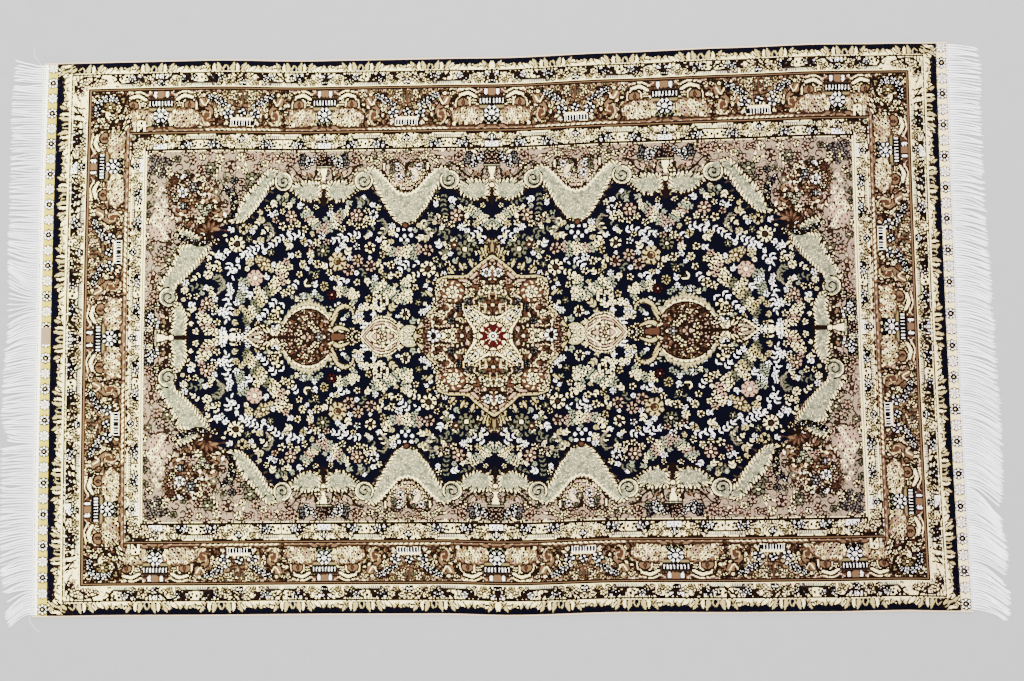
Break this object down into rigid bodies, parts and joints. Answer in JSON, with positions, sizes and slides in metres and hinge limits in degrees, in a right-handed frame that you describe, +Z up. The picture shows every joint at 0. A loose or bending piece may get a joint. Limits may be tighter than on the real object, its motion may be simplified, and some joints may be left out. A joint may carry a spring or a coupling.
{
  "type": "silk rug",
  "caption": "Flat hand-knotted silk rug with a cut-pile field, flat-woven kilim ends, bound side selvedges and a loose fringe of warps at both short ends.",
  "frame": {"origin": "middle of the rug's underside, on the floor", "axes": "+X along the rug towards the end with the narrower kilim strip, +Y across it, +Z up out of the pile"},
  "size_m": [1.3633, 0.8118, 0.0045],
  "materials": {
    "silk_cloth": "cut silk pile, soft sheen",
    "selvedge_silk": "overcast silk binding",
    "fringe_silk": "loose undyed silk warps"
  },
  "bodies": {
    "root": {"rug_body": "silk_cloth", "selvedge_far": "selvedge_silk", "selvedge_near": "selvedge_silk", "fringe_left": "fringe_silk", "fringe_right": "fringe_silk"}
  },
  "joints": []
}
